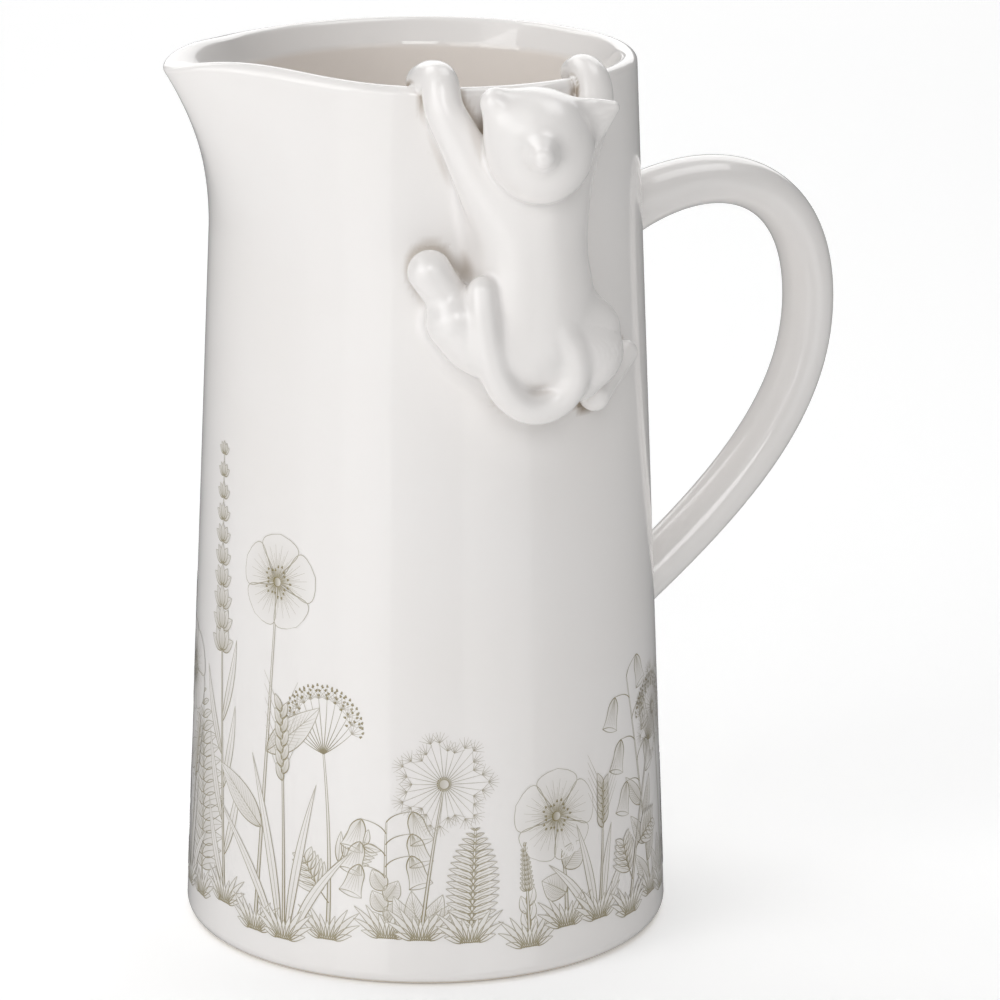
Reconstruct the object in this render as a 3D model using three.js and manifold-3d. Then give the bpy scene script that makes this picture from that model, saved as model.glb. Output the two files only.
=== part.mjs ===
// A tall ceramic pitcher with a pulled spout, a loop handle and a cat hanging from its rim.
// Millimetres, +Z up. The origin is the centre of the foot on the table, the handle is at +X,
// the spout at -X, and the cat hangs on the front, near -Y.
import * as THREE from "three";
import { mergeVertices } from "three/addons/utils/BufferGeometryUtils.js";
import Module from "manifold-3d";

const wasm = await Module();
wasm.setup();

// Driving dimensions of the pitcher body
const BODY_HEIGHT = 245;
const BASE_RADIUS = 68;
const RIM_RADIUS = 57.3;
const WALL = 5.8;
const FLOOR = 7;
const BASE_ROUND = 4;
const FLOOR_ROUND = 14;
const FOOT_WIDTH = 9;
const FOOT_RECESS = 1.5;
const RIM_ROUND = 2.4;
const LIP_BEVEL_DEPTH = 6;

// Driving dimensions of the pulled spout
const SPOUT_DEPTH = 48;
const SPOUT_REACH = 19;
const SPOUT_CHANNEL_REACH = 14;
const SPOUT_LIFT = 4.5;
const SPOUT_DROOP = 3;
const SPOUT_HALF_ANGLE = 17;
const SPOUT_SPREAD = 0.7;
const SPOUT_LIFT_ANGLE = 41;
const SPOUT_CURVE = 1.75;
const SPOUT_SHARPNESS = 1.7;

// Driving dimensions of the handle: where its centre line meets the wall, and the points that it bends
// toward, each by its drop below the rim and its distance out from the wall
const HANDLE_TOP_DROP = 50.5;
const HANDLE_SHOULDER_DROP = 33.5;
const HANDLE_SHOULDER_OUT = 29;
const HANDLE_CROWN_DROP = 80;
const HANDLE_CROWN_OUT = 57.8;
const HANDLE_CROWN_RISE = 37;
const HANDLE_CROWN_FALL = 31;
const HANDLE_ELBOW_DROP = 134.5;
const HANDLE_ELBOW_OUT = 32.2;
const HANDLE_LOW_DROP = 161;
const HANDLE_WIDTH = 18;
const HANDLE_THICKNESS = 13.5;
const HANDLE_ROOT_FLARE = 2.4;
const HANDLE_FLARE_LENGTH = 40;

// Every luted joint keeps this gap, where the slip was
const SLIP_GAP = 0.3;

// Driving dimensions of the cat. Each station of a limb is its turn around the wall in degrees from the
// cat's own direction, its height from the rim, its distance out from the wall, and its half sizes along
// the wall (wide) and away from it (thick).
const CAT_DIRECTION = -87;
const TORSO = [
  { turn: 0.4, rise: -25, out: 3, wide: 14.2, thick: 13.5 },
  { turn: 0.4, rise: -40, out: 3, wide: 14.6, thick: 13.5 },
  { turn: 0.3, rise: -53, out: 3, wide: 16.6, thick: 14.6 },
  { turn: 0.6, rise: -65.5, out: 3, wide: 16.8, thick: 14.4 },
];
const HEAD = { turn: -2.3, rise: -12.8, out: 15, wide: 14, thick: 15.6, tall: 15.1 };
// The muzzle and the ears point away from the head's middle, aside and above the way that the wall faces,
// and shrink from base to tip with a power of the way along them
const HORN_EMBED = 4.4;
const MUZZLE = { aside: -22, above: 3, length: 7.4, base: 6.6, tip: 3, thick: 6.6, taper: 1 };
const EAR_RIGHT = { aside: 80, above: 25, length: 9.2, base: 7.6, tip: 1.8, thick: 4.2, taper: 1.6 };
const EAR_LEFT = { aside: -98, above: 45, length: 6.2, base: 7.4, tip: 4.2, thick: 5.2, taper: 1 };
const FORELEG_LEFT = [
  { turn: -4.5, rise: -37, out: 3.5, wide: 9, thick: 8 },
  { turn: -12, rise: -25, out: 5.6, wide: 7.2, thick: 6.2 },
  { turn: -18.1, rise: -12, out: 4.7, wide: 5.7, thick: 5.1 },
  { turn: -21.5, rise: -4.5, out: 3.6, wide: 5.2, thick: 4.9 },
  { turn: -22.6, rise: 2, out: 1, wide: 5, thick: 4.6 },
  { turn: -24.6, rise: 2.2, out: -4, wide: 5.1, thick: 4.7 },
  { turn: -26.6, rise: 0.9, out: -7.6, wide: 4.8, thick: 4.5 },
];
const FORELEG_RIGHT = [
  { turn: 4.5, rise: -37, out: 3.5, wide: 8.4, thick: 7.6 },
  { turn: 9.8, rise: -25, out: 4.8, wide: 6.4, thick: 5.8 },
  { turn: 16.8, rise: -13, out: 4.4, wide: 5.2, thick: 4.8 },
  { turn: 20.6, rise: -6.5, out: 3.4, wide: 5.3, thick: 4.7 },
  { turn: 22.6, rise: -1.6, out: 1.2, wide: 5.4, thick: 4.7 },
  { turn: 25, rise: 0.3, out: -3, wide: 5.6, thick: 4.7 },
  { turn: 27, rise: -0.7, out: -6.4, wide: 5.2, thick: 4.6 },
];
const HAUNCH_LEFT = [
  { turn: -5, rise: -68.5, out: 5, wide: 8, thick: 7.6 },
  { turn: -13.4, rise: -66, out: 5.8, wide: 8.5, thick: 7.9 },
  { turn: -19.2, rise: -59.6, out: 6, wide: 8, thick: 7.5 },
];
const HIND_PAW_LEFT = [
  { turn: -21.2, rise: -53.4, out: 5, wide: 5.5, thick: 5.1 },
  { turn: -25.2, rise: -46.4, out: 5.8, wide: 5.8, thick: 5.6 },
];
const HAUNCH_RIGHT = [
  { turn: 9.5, rise: -75.5, out: 6, wide: 9, thick: 8.5 },
  { turn: 12.4, rise: -70.5, out: 7.5, wide: 10.4, thick: 9.6 },
  { turn: 14, rise: -64.6, out: 7, wide: 8.6, thick: 7.9 },
];
const HIND_PAW_RIGHT = [
  { turn: 18.2, rise: -83.8, out: 3.2, wide: 5.2, thick: 4.6 },
  { turn: 24.6, rise: -80.2, out: 2.8, wide: 3.6, thick: 3.5 },
  { turn: 31.6, rise: -75.8, out: 2.6, wide: 3.6, thick: 3.5 },
];
const TAIL = [
  { turn: 2.6, rise: -62.5, out: 13.8, wide: 3.4, thick: 3.4 },
  { turn: 4.8, rise: -68.5, out: 14, wide: 4.1, thick: 4.1 },
  { turn: 5.8, rise: -75, out: 12.8, wide: 4.4, thick: 4.4 },
  { turn: 4, rise: -80.6, out: 10.8, wide: 4.5, thick: 4.5 },
  { turn: 0, rise: -83.2, out: 9.8, wide: 4.4, thick: 4.4 },
  { turn: -4.4, rise: -82.6, out: 9.6, wide: 4.3, thick: 4.3 },
  { turn: -8.6, rise: -78.4, out: 10.2, wide: 4.3, thick: 4.3 },
  { turn: -11.6, rise: -71.6, out: 11.2, wide: 4.3, thick: 4.3 },
  { turn: -13.3, rise: -64, out: 11.8, wide: 4.3, thick: 4.3 },
  { turn: -13.9, rise: -57.2, out: 11.6, wide: 4.2, thick: 4.2 },
  { turn: -13.9, rise: -51, out: 10.4, wide: 4, thick: 4 },
];

// How finely the surfaces are divided
const BODY_SEGMENTS = 72;
const SPOUT_CROWDING = 0.45;
const SPOUT_LEVELS = 9;
const ARC_STEPS = 5;
const LIMB_SIDES = 14;
const LIMB_STEPS = 3;
const CAP_STEPS = 4;
const HANDLE_STEPS = 26;
const WELD_DISTANCE = 1e-4;

const GLAZE = { color: 0xf1eeea, roughness: 0.16, metalness: 0 };

/** Welds the seams of a geometry and drops the empty triangles at its poles. */
function weld(geometry) {
  geometry.deleteAttribute("normal");
  geometry.deleteAttribute("uv");
  const welded = mergeVertices(geometry, WELD_DISTANCE);
  const corners = welded.getIndex().array;
  const kept = [];
  for (let i = 0; i < corners.length; i += 3) {
    const [a, b, c] = corners.subarray(i, i + 3);
    if (a !== b && b !== c && c !== a) kept.push(a, b, c);
  }
  welded.setIndex(kept);
  return welded;
}

/** Turns a welded geometry into a solid that can be cut. */
function solid(geometry) {
  return new wasm.Manifold(new wasm.Mesh({
    numProp: 3,
    vertProperties: new Float32Array(geometry.getAttribute("position").array),
    triVerts: new Uint32Array(geometry.getIndex().array),
  }));
}

/** Makes the named mesh of a finished solid, in white glaze. */
function piece(name, shape) {
  const { vertProperties, triVerts } = shape.getMesh();
  const geometry = new THREE.BufferGeometry();
  geometry.setAttribute("position", new THREE.BufferAttribute(vertProperties, 3));
  geometry.setIndex(new THREE.BufferAttribute(triVerts, 1));
  geometry.computeVertexNormals();
  const mesh = new THREE.Mesh(geometry, new THREE.MeshStandardMaterial(GLAZE));
  mesh.name = name;
  return mesh;
}

/** Closes rows of points, each a ring of equal count, into a geometry. Its first and last rows are poles. */
function closedRows(rows) {
  const sides = rows[0].length;
  const corners = [];
  for (let row = 0; row + 1 < rows.length; row += 1) {
    for (let side = 0; side < sides; side += 1) {
      const next = (side + 1) % sides;
      const a = row * sides + side;
      const b = row * sides + next;
      corners.push(a, b, a + sides, b, b + sides, a + sides);
    }
  }
  const geometry = new THREE.BufferGeometry().setFromPoints(rows.flat());
  geometry.setIndex(corners);
  return weld(geometry);
}

/** The outer radius of the plain tapered wall at a height. */
function wallRadius(height) {
  return BASE_RADIUS + ((RIM_RADIUS - BASE_RADIUS) * height) / BODY_HEIGHT;
}

/** How far the spout pulls the wall outward and lifts it, at an angle from the spout and a height. */
function spoutPull(angle, height, channelShare) {
  const climb = THREE.MathUtils.clamp((height - BODY_HEIGHT + SPOUT_DEPTH) / SPOUT_DEPTH, 0, 1);
  const halfAngle = THREE.MathUtils.degToRad(SPOUT_HALF_ANGLE) * (1 + SPOUT_SPREAD * (1 - climb));
  const reach = THREE.MathUtils.lerp(SPOUT_REACH, SPOUT_CHANNEL_REACH, channelShare);
  const bell = Math.exp(-((Math.abs(angle) / halfAngle) ** SPOUT_SHARPNESS));
  const liftBell = Math.exp(-((angle / THREE.MathUtils.degToRad(SPOUT_LIFT_ANGLE)) ** 2));
  const up = SPOUT_LIFT * liftBell * climb ** 2 - SPOUT_DROOP * (bell * climb) ** 3;
  return { out: reach * bell * climb ** SPOUT_CURVE, up };
}

/** Points of an arc in the section plane, from one angle in degrees to another. */
function sectionArc(centreOut, centreHeight, radius, from, to) {
  return Array.from({ length: ARC_STEPS + 1 }, (_, step) => {
    const angle = THREE.MathUtils.degToRad(from + ((to - from) * step) / ARC_STEPS);
    return new THREE.Vector2(centreOut + radius * Math.cos(angle), centreHeight + radius * Math.sin(angle));
  });
}

/** The wall's section from the axis under the floor, over the rim, to the axis inside, grown by a gap. */
function wallSection(grow) {
  const levels = Array.from({ length: SPOUT_LEVELS }, (_, level) =>
    BODY_HEIGHT - RIM_ROUND - ((SPOUT_DEPTH - RIM_ROUND) * (SPOUT_LEVELS - 1 - level)) / (SPOUT_LEVELS - 1));
  const rimRadius = RIM_ROUND + grow;
  const rimCentre = wallRadius(BODY_HEIGHT - RIM_ROUND) - RIM_ROUND;
  const footInner = BASE_RADIUS - BASE_ROUND - FOOT_WIDTH + grow;
  const innerWall = (height) => wallRadius(height) - WALL - grow;
  const innerCorner = FLOOR + FLOOR_ROUND;
  const below = levels.filter((height) => height < BODY_HEIGHT - LIP_BEVEL_DEPTH).reverse();
  return [
    new THREE.Vector2(0, FOOT_RECESS - grow),
    new THREE.Vector2(footInner - FOOT_RECESS, FOOT_RECESS - grow),
    new THREE.Vector2(footInner, -grow),
    ...sectionArc(wallRadius(BASE_ROUND) - BASE_ROUND, BASE_ROUND, BASE_ROUND + grow, -90, 0),
    ...levels.slice(0, -1).map((height) => new THREE.Vector2(wallRadius(height) + grow, height)),
    ...sectionArc(rimCentre, BODY_HEIGHT - RIM_ROUND, rimRadius, 0, 90),
    ...sectionArc(rimCentre, BODY_HEIGHT - RIM_ROUND, rimRadius, 90, 180).slice(1),
    new THREE.Vector2(innerWall(BODY_HEIGHT - LIP_BEVEL_DEPTH), BODY_HEIGHT - LIP_BEVEL_DEPTH),
    ...below.map((height) => new THREE.Vector2(innerWall(height), height)),
    ...sectionArc(innerWall(innerCorner) + grow - FLOOR_ROUND, innerCorner, FLOOR_ROUND - grow, 0, -90),
    new THREE.Vector2(0, FLOOR + grow),
  ];
}

/** The outside of the vessel as one filled block, grown by a gap, for cutting what is luted on it. */
function filledSection(grow) {
  const open = wallSection(grow);
  const crest = open.reduce((best, point, index) => (point.y > open[best].y ? index : best), 0);
  return [...open.slice(0, crest + 1), new THREE.Vector2(0, open[crest].y)];
}

/** Revolves a section, crowds its segments toward the spout and pulls the spout out of the wall. */
function revolveWithSpout(section) {
  const geometry = weld(new THREE.LatheGeometry(section, BODY_SEGMENTS).rotateX(Math.PI / 2));
  const position = geometry.getAttribute("position");
  for (let i = 0; i < position.count; i += 1) {
    const out = Math.hypot(position.getX(i), position.getY(i));
    const height = position.getZ(i);
    const even = Math.atan2(-position.getY(i), -position.getX(i));
    const angle = even - SPOUT_CROWDING * Math.sin(even);
    const channelShare = THREE.MathUtils.clamp((wallRadius(height) - out) / (2 * RIM_ROUND), 0, 1);
    const pull = out > WELD_DISTANCE ? spoutPull(angle, height, channelShare) : { out: 0, up: 0 };
    position.setXYZ(i, -(out + pull.out) * Math.cos(angle), -(out + pull.out) * Math.sin(angle), height + pull.up);
  }
  return solid(geometry);
}

/** A point in the handle's plane, by its drop below the rim and its distance out from the wall. */
function handlePoint(drop, out) {
  const height = BODY_HEIGHT - drop;
  return new THREE.Vector3(wallRadius(height) + out, 0, height);
}

/** The handle's centre line, from inside the wall at the top to inside it at the bottom. */
function handlePath() {
  const crown = handlePoint(HANDLE_CROWN_DROP, HANDLE_CROWN_OUT);
  const path = new THREE.CurvePath();
  path.add(new THREE.CubicBezierCurve3(
    handlePoint(HANDLE_TOP_DROP, -WALL / 2),
    handlePoint(HANDLE_SHOULDER_DROP, HANDLE_SHOULDER_OUT),
    crown.clone().setZ(crown.z + HANDLE_CROWN_RISE),
    crown,
  ));
  path.add(new THREE.CubicBezierCurve3(
    crown,
    crown.clone().setZ(crown.z - HANDLE_CROWN_FALL),
    handlePoint(HANDLE_ELBOW_DROP, HANDLE_ELBOW_OUT),
    handlePoint(HANDLE_LOW_DROP, -WALL / 2),
  ));
  return path;
}

/** The handle: an oval carried along its centre line, swelling toward the upper root. */
function handleShape() {
  const path = handlePath();
  const across = new THREE.Vector3(0, 1, 0);
  const flareShare = HANDLE_FLARE_LENGTH / path.getLength();
  const rows = Array.from({ length: HANDLE_STEPS + 1 }, (_, step) => {
    const share = step / HANDLE_STEPS;
    const centre = path.getPointAt(share);
    const outward = path.getTangentAt(share).cross(across).normalize();
    const thickness = HANDLE_THICKNESS + HANDLE_ROOT_FLARE * Math.max(0, 1 - share / flareShare) ** 2;
    return ring(centre, across, outward, HANDLE_WIDTH / 2, thickness / 2);
  });
  return solid(closedRows([pole(rows[0]), ...rows, pole(rows.at(-1))]));
}

/** One ring of a limb: an ellipse around a centre. */
function ring(centre, across, outward, wide, thick) {
  return Array.from({ length: LIMB_SIDES }, (_, side) => {
    const angle = (2 * Math.PI * side) / LIMB_SIDES;
    return centre.clone()
      .addScaledVector(across, wide * Math.cos(angle))
      .addScaledVector(outward, thick * Math.sin(angle));
  });
}

/** A ring shrunk to its own middle, which closes an end. */
function pole(points) {
  const middle = points.reduce((sum, point) => sum.add(point), new THREE.Vector3()).divideScalar(points.length);
  return points.map(() => middle);
}

/** A place on the wall, by its turn from the cat's direction, its height from the rim and its distance out. */
function onWall({ turn, rise, out }) {
  const angle = THREE.MathUtils.degToRad(CAT_DIRECTION + turn);
  const height = BODY_HEIGHT + rise;
  const radius = wallRadius(Math.min(height, BODY_HEIGHT)) + out;
  return new THREE.Vector3(radius * Math.cos(angle), radius * Math.sin(angle), height);
}

/** A round-ended limb: ovals that swell and taper along a smooth spine through its stations. */
function limb(stations, grow = 0) {
  const spine = new THREE.CatmullRomCurve3(stations.map(onWall));
  const wide = new THREE.SplineCurve(stations.map((station, i) => new THREE.Vector2(i, station.wide)));
  const thick = new THREE.SplineCurve(stations.map((station, i) => new THREE.Vector2(i, station.thick)));
  const middleTurn = stations.reduce((sum, station) => sum + station.turn, 0) / stations.length;
  const facing = THREE.MathUtils.degToRad(CAT_DIRECTION + middleTurn);
  const chord = spine.getPoint(1).sub(spine.getPoint(0));
  const radial = new THREE.Vector3(Math.cos(facing), Math.sin(facing), 0);
  const sideways = chord.cross(radial).normalize();
  const steps = LIMB_STEPS * (stations.length - 1);
  const ringAt = (share, slide, shrink) => {
    const tangent = spine.getTangent(share);
    const outward = tangent.clone().cross(sideways).normalize();
    const across = outward.clone().cross(tangent).normalize();
    const centre = spine.getPoint(share).addScaledVector(tangent, slide);
    const halfWide = (wide.getPoint(share).y + grow) * shrink;
    return ring(centre, across, outward, halfWide, (thick.getPoint(share).y + grow) * shrink);
  };
  const capRings = (share, direction) => Array.from({ length: CAP_STEPS }, (_, step) => {
    const angle = (Math.PI / 2) * (step / CAP_STEPS);
    const length = Math.min(wide.getPoint(share).y, thick.getPoint(share).y) + grow;
    return ringAt(share, direction * length * Math.cos(angle), Math.sin(angle));
  });
  const along = Array.from({ length: steps + 1 }, (_, step) => ringAt(step / steps, 0, 1));
  return solid(closedRows([...capRings(0, -1), ...along, ...capRings(1, 1).reverse()]));
}

/** The head's own axes: along the wall to the right, straight out from the wall, and up. */
function headAxes() {
  const facing = THREE.MathUtils.degToRad(CAT_DIRECTION + HEAD.turn);
  const outward = new THREE.Vector3(Math.cos(facing), Math.sin(facing), 0);
  const up = new THREE.Vector3(0, 0, 1);
  return { right: up.clone().cross(outward), outward, up };
}

/** The round head. */
function headShape(grow = 0) {
  const { right, outward, up } = headAxes();
  const ball = new THREE.SphereGeometry(1, 2 * LIMB_SIDES, LIMB_SIDES).rotateX(Math.PI / 2);
  ball.scale(HEAD.wide + grow, HEAD.thick + grow, HEAD.tall + grow);
  ball.applyMatrix4(new THREE.Matrix4().makeBasis(right.negate(), outward, up).setPosition(onWall(HEAD)));
  return solid(weld(ball));
}

/** A tapered knob or flap that stands on the head and points aside and above the way that the wall faces. */
function headHorn({ aside, above, length, base, tip, thick, taper }) {
  const { right, outward, up } = headAxes();
  const turn = THREE.MathUtils.degToRad(aside);
  const tilt = THREE.MathUtils.degToRad(above);
  const shares = [Math.sin(turn) * Math.cos(tilt), Math.cos(turn) * Math.cos(tilt), Math.sin(tilt)];
  const surface = 1 / Math.hypot(shares[0] / HEAD.wide, shares[1] / HEAD.thick, shares[2] / HEAD.tall);
  const along = right.multiplyScalar(shares[0]).addScaledVector(outward, shares[1]).addScaledVector(up, shares[2]);
  const sideways = (Math.abs(shares[1]) > Math.SQRT1_2 ? up : outward).clone().cross(along).normalize();
  const flatways = along.clone().cross(sideways);
  const root = onWall(HEAD).addScaledVector(along, surface - HORN_EMBED);
  const last = onWall(HEAD).addScaledVector(along, surface + length - tip);
  const body = Array.from({ length: ARC_STEPS + 1 }, (_, step) => {
    const share = step / ARC_STEPS;
    const halfWide = THREE.MathUtils.lerp(base, tip, share ** taper);
    const halfThick = THREE.MathUtils.lerp(thick, tip, share ** taper);
    return ring(root.clone().lerp(last, share), sideways, flatways, halfWide, halfThick);
  });
  const cap = Array.from({ length: CAP_STEPS }, (_, step) => {
    const angle = (Math.PI / 2) * ((step + 1) / CAP_STEPS);
    const middle = last.clone().addScaledVector(along, tip * Math.sin(angle));
    return ring(middle, sideways, flatways, tip * Math.cos(angle), tip * Math.cos(angle));
  });
  return solid(closedRows([pole(body[0]), ...body, ...cap]));
}

/** Cuts a shape by every neighbour that it seats on. */
function seat(shape, ...neighbours) {
  return neighbours.reduce((rest, neighbour) => rest.subtract(neighbour), shape);
}

// What the luted pieces are cut by: the pieces that they seat on, grown by the slip's gap
const outsideSeat = revolveWithSpout(filledSection(SLIP_GAP));
const wallSeat = revolveWithSpout(wallSection(SLIP_GAP));
const torsoSeat = limb(TORSO, SLIP_GAP);
const headSeat = headShape(SLIP_GAP);
const haunchSeats = [limb(HAUNCH_LEFT, SLIP_GAP), limb(HAUNCH_RIGHT, SLIP_GAP)];

const pitcher = new THREE.Group();
pitcher.name = "cat_pitcher";
pitcher.add(
  piece("pitcher_body", revolveWithSpout(wallSection(0))),
  piece("handle", seat(handleShape(), outsideSeat)),
  piece("cat_torso", seat(limb(TORSO), outsideSeat)),
  piece("cat_head", seat(headShape(), outsideSeat, torsoSeat)),
  piece("cat_muzzle", seat(headHorn(MUZZLE), headSeat)),
  piece("cat_ear_left", seat(headHorn(EAR_LEFT), headSeat, outsideSeat)),
  piece("cat_ear_right", seat(headHorn(EAR_RIGHT), headSeat, outsideSeat)),
  piece("cat_foreleg_left", seat(limb(FORELEG_LEFT), wallSeat, torsoSeat, headSeat)),
  piece("cat_foreleg_right", seat(limb(FORELEG_RIGHT), wallSeat, torsoSeat, headSeat)),
  piece("cat_haunch_left", seat(limb(HAUNCH_LEFT), outsideSeat, torsoSeat)),
  piece("cat_hind_paw_left", seat(limb(HIND_PAW_LEFT), outsideSeat, torsoSeat, haunchSeats[0])),
  piece("cat_haunch_right", seat(limb(HAUNCH_RIGHT), outsideSeat, torsoSeat)),
  piece("cat_hind_paw_right", seat(limb(HIND_PAW_RIGHT), outsideSeat, torsoSeat, haunchSeats[1])),
  piece("cat_tail", seat(limb(TAIL), outsideSeat, torsoSeat, ...haunchSeats)),
);

export default pitcher;
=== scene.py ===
import bpy
import numpy as np
from mathutils import Matrix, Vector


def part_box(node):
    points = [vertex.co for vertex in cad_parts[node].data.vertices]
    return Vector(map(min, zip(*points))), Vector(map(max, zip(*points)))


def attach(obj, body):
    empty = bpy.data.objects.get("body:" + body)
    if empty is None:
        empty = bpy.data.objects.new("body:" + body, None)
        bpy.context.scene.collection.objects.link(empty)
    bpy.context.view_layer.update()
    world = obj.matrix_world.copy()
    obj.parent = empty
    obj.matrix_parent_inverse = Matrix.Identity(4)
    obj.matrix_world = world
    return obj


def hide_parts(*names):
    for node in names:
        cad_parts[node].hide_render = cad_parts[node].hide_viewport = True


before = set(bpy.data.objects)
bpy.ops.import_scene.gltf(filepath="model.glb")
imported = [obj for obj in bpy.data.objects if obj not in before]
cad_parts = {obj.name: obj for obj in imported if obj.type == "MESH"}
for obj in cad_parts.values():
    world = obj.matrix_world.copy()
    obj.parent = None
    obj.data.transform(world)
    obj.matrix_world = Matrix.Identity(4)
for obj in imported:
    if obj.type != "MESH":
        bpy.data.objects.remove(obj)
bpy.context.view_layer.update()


# The vessel: a tall tapered jug of slip-cast earthenware, with its spout pulled out of the wet rim by
# hand. It is dipped in warm white glaze and stands on a ring that is wiped bare before firing.
MM = 0.001
HEIGHT = 245 * MM
BASE_RADIUS = 68 * MM
RIM_RADIUS = 57.3 * MM
WALL = 5.8 * MM
FLOOR = 7 * MM
BASE_ROUND = 4 * MM
FLOOR_ROUND = 14 * MM
FOOT_WIDTH = 9 * MM
FOOT_RECESS = 1.5 * MM
FOOT_EDGE = 0.5 * MM
RIM_ROUND = 2.4 * MM
BEVEL_DEPTH = 6 * MM
BEVEL_ROUND = 1.2 * MM
LIP_DEPTH = 7.2 * MM
LIP_SLOPE = 27
SPOUT_DEPTH = 48 * MM
SPOUT_REACH = 19 * MM
SPOUT_CHANNEL_REACH = 14 * MM
SPOUT_LIFT = 4.5 * MM
SPOUT_DROOP = 3 * MM
SPOUT_HALF_ANGLE = np.radians(17)
SPOUT_SPREAD = 0.7
SPOUT_LIFT_ANGLE = np.radians(41)
SPOUT_CURVE = 1.75
SPOUT_SHARPNESS = 1.7
SPOUT_CROWDING = 0.45
VESSEL_COLUMNS = 360
FLAT_STEPS = 8
EDGE_STEPS = 5
BASE_STEPS = 14
WALL_STEPS = 126
RIM_STEPS = 29
BEVEL_STEPS = 4
BEVEL_ROUND_STEPS = 7
INSIDE_STEPS = 40
CORNER_STEPS = 18

GLAZE_WHITE = (0.881, 0.859, 0.844, 1)
GLAZE_CREAM = (0.86, 0.833, 0.81, 1)
# Pooled glaze and painted shade: the brown that darkens the creases and slots by the cat
GLAZE_POOLED_AND_SHADED = (0.42, 0.35, 0.28, 1)
# Painted light: the inside below the lip is painted lighter and warmer than the outside
GLAZE_INSIDE_LIT = (0.93, 0.875, 0.825, 1)
BISCUIT = (0.60, 0.54, 0.46, 1)
BISCUIT_DARK = (0.50, 0.44, 0.36, 1)
GLAZE_SHINE = 0.06
DRIFT_SIZE = 45 * MM
MOTTLE_SIZE = 3 * MM
CLOUD_SIZE = 12 * MM
WAVE_SIZE = 16 * MM
PEEL_SIZE = 2.2 * MM
BARE_LEVEL = 1.6
BARE_FADE = 1.1 * MM
# How deep below the rim, in mm, the painted light inside begins and is full
INSIDE_LIGHT_DEPTH = (6.2, 8.2)


def wall_radius(height):
    """The outside of the wall: a straight taper from the foot to the rim."""
    return BASE_RADIUS + (RIM_RADIUS - BASE_RADIUS) * height / HEIGHT


def spout_pull(angle, height, channel):
    """How far the spout pulls the wall out and up. Both are bells around the spout's middle, and they
    grow with a power of the climb up the spout. The channel's floor is pulled less than its outside."""
    climb = np.clip((height - HEIGHT + SPOUT_DEPTH) / SPOUT_DEPTH, 0, 1)
    half_angle = SPOUT_HALF_ANGLE * (1 + SPOUT_SPREAD * (1 - climb))
    bell = np.exp(-((np.abs(angle) / half_angle) ** SPOUT_SHARPNESS))
    reach = SPOUT_REACH + (SPOUT_CHANNEL_REACH - SPOUT_REACH) * channel
    lift = SPOUT_LIFT * np.exp(-((angle / SPOUT_LIFT_ANGLE) ** 2)) * climb**2
    return reach * bell * climb**SPOUT_CURVE, lift - SPOUT_DROOP * (bell * climb) ** 3


def arc(middle, radius, start, end, steps):
    """Points of a circular arc in the section, from one angle in degrees to another."""
    angle = np.radians(np.linspace(start, end, steps))
    return np.stack([middle[0] + radius * np.cos(angle), middle[1] + radius * np.sin(angle)], axis=1)


def run(start, end, steps):
    """Points of a straight stretch of the section, without its two ends."""
    share = np.linspace(0, 1, steps + 2)[1:-1, None]
    return np.array(start) * (1 - share) + np.array(end) * share


def rounded(corner, before, after, size, steps):
    """A corner of the section rounded as a quadratic curve that starts and ends a size away from it."""
    corner, before, after = (np.array(point) for point in (corner, before, after))
    first = corner + size * (before - corner) / np.linalg.norm(before - corner)
    last = corner + size * (after - corner) / np.linalg.norm(after - corner)
    share = np.linspace(0, 1, steps)[:, None]
    return first * (1 - share) ** 2 + 2 * corner * share * (1 - share) + last * share**2


def vessel_section():
    """The cut through the wall: under the floor from the axis, round the foot ring, up the outside, over
    the round rim, down the bevel and the inside, round the floor's corner and back to the axis. The runs
    on both sides of the bevel's foot leave out what its rounding takes up."""
    foot = BASE_RADIUS - BASE_ROUND - FOOT_WIDTH
    step_top = (foot - FOOT_RECESS, FOOT_RECESS)
    rim = HEIGHT - RIM_ROUND
    rim_middle = (wall_radius(rim) - RIM_ROUND, rim)
    slant = np.radians(LIP_SLOPE)
    lip = (rim_middle[0] - RIM_ROUND * np.cos(slant), rim + RIM_ROUND * np.sin(slant))
    bevel = (lip[0] - (lip[1] - HEIGHT + LIP_DEPTH) * np.tan(slant), HEIGHT - LIP_DEPTH)
    floor_top = FLOOR + FLOOR_ROUND
    inner_low = (wall_radius(floor_top) - WALL, floor_top)
    return np.concatenate([
        [(0, FOOT_RECESS)],
        run((0, FOOT_RECESS), step_top, FLAT_STEPS),
        rounded(step_top, (0, FOOT_RECESS), (foot, 0), FOOT_EDGE, EDGE_STEPS),
        rounded((foot, 0), step_top, (BASE_RADIUS, 0), FOOT_EDGE, EDGE_STEPS),
        run((foot + FOOT_EDGE, 0), (BASE_RADIUS - BASE_ROUND, 0), EDGE_STEPS),
        arc((wall_radius(BASE_ROUND) - BASE_ROUND, BASE_ROUND), BASE_ROUND, -90, 0, BASE_STEPS),
        run((wall_radius(BASE_ROUND), BASE_ROUND), (wall_radius(rim), rim), WALL_STEPS),
        arc(rim_middle, RIM_ROUND, 0, 180 - LIP_SLOPE, RIM_STEPS),
        run(lip, bevel, BEVEL_STEPS)[:2],
        rounded(bevel, lip, inner_low, BEVEL_ROUND, BEVEL_ROUND_STEPS),
        run(bevel, inner_low, INSIDE_STEPS)[1:],
        arc((inner_low[0] - FLOOR_ROUND, floor_top), FLOOR_ROUND, 0, -90, CORNER_STEPS),
        run((inner_low[0] - FLOOR_ROUND, FLOOR), (0, FLOOR), FLAT_STEPS),
        [(0, FLOOR)],
    ])


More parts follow.
